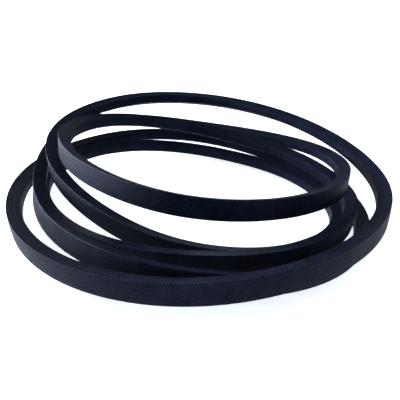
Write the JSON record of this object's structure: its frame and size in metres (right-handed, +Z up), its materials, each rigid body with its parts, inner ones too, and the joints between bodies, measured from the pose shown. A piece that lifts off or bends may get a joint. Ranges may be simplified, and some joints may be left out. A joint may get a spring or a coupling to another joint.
{
  "type": "wrapped v belt",
  "caption": "Long endless wrapped V belt with a 13 x 8 mm wedge section, fabric covered, lying loosely coiled in loops.",
  "frame": {"origin": "centre of the coil's bounding box, at the floor that the coiled belt lies on", "axes": "+Z up; -Y is the front of the coil, where the lowest outer loop lies; +X to the right seen from the front"},
  "size_m": [0.2716, 0.2877, 0.0642],
  "materials": {
    "outer_cover_fabric": "rubberised bias-woven cover cloth, satin",
    "inner_cover_fabric": "rubberised bias-woven cover cloth, dull",
    "tension_rubber": "moulded, matt",
    "adhesion_gum": "soft gum, satin",
    "polyester_cord": "twisted and treated cord",
    "compression_rubber": "fibre-loaded moulded rubber, matt"
  },
  "bodies": {
    "root": {"outer_cover_ply": "outer_cover_fabric", "inner_cover_ply": "inner_cover_fabric", "tension_rubber": "tension_rubber", "upper_adhesion_gum": "adhesion_gum", "tensile_cord": "polyester_cord", "lower_adhesion_gum": "adhesion_gum", "compression_rubber": "compression_rubber"}
  },
  "joints": []
}
